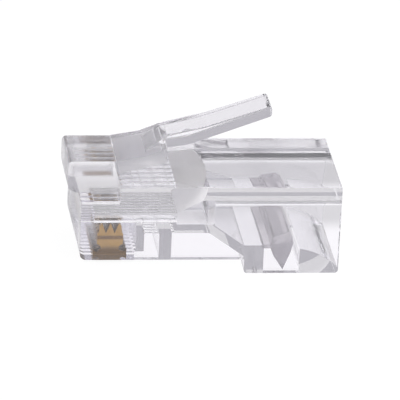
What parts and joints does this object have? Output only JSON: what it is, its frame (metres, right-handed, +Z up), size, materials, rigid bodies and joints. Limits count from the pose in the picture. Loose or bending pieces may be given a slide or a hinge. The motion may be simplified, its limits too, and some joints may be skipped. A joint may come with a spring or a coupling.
{
  "type": "modular plug",
  "caption": "Clear modular data plug with gold-plated contact blades, a spring latch over the body and a cable strain relief bar, before crimping.",
  "frame": {"origin": "middle of the plug's footprint, level with the underside of the heel that it rests on", "axes": "+X from the nose to the cable end, +Z up on the latch side, +Y across the contacts"},
  "size_m": [0.023, 0.0116, 0.0134],
  "materials": {
    "clear_moulding": "clear moulded polycarbonate, polished",
    "gold_contact": "gold-plated phosphor bronze, stamped"
  },
  "bodies": {
    "plug": {"plug_body": "clear_moulding"},
    "latch": {"latch_lever": "clear_moulding"},
    "strain_relief": {"strain_relief_bar": "clear_moulding"},
    "contact_1": {"contact_1": "gold_contact"},
    "contact_2": {"contact_2": "gold_contact"},
    "contact_3": {"contact_3": "gold_contact"},
    "contact_4": {"contact_4": "gold_contact"},
    "contact_5": {"contact_5": "gold_contact"},
    "contact_6": {"contact_6": "gold_contact"},
    "contact_7": {"contact_7": "gold_contact"},
    "contact_8": {"contact_8": "gold_contact"}
  },
  "joints": [
    {"name": "latch_press", "type": "hinge", "parent": "plug", "child": "latch", "pos_m": [-0.00729, 0, 0.00857], "axis": [0, 1, 0], "range_deg": [0, 16], "stiffness_Nm_per_rad": 0.02},
    {"name": "strain_relief_fold", "type": "hinge", "parent": "plug", "child": "strain_relief", "pos_m": [0.00514, 0, 0.00213], "axis": [0, -1, 0], "range_deg": [0, 50]},
    {"name": "contact_1_crimp", "type": "slide", "parent": "plug", "child": "contact_1", "axis": [0, 0, 1], "range_m": [0, 0.001]},
    {"name": "contact_2_crimp", "type": "slide", "parent": "plug", "child": "contact_2", "axis": [0, 0, 1], "range_m": [0, 0.001]},
    {"name": "contact_3_crimp", "type": "slide", "parent": "plug", "child": "contact_3", "axis": [0, 0, 1], "range_m": [0, 0.001]},
    {"name": "contact_4_crimp", "type": "slide", "parent": "plug", "child": "contact_4", "axis": [0, 0, 1], "range_m": [0, 0.001]},
    {"name": "contact_5_crimp", "type": "slide", "parent": "plug", "child": "contact_5", "axis": [0, 0, 1], "range_m": [0, 0.001]},
    {"name": "contact_6_crimp", "type": "slide", "parent": "plug", "child": "contact_6", "axis": [0, 0, 1], "range_m": [0, 0.001]},
    {"name": "contact_7_crimp", "type": "slide", "parent": "plug", "child": "contact_7", "axis": [0, 0, 1], "range_m": [0, 0.001]},
    {"name": "contact_8_crimp", "type": "slide", "parent": "plug", "child": "contact_8", "axis": [0, 0, 1], "range_m": [0, 0.001]}
  ]
}
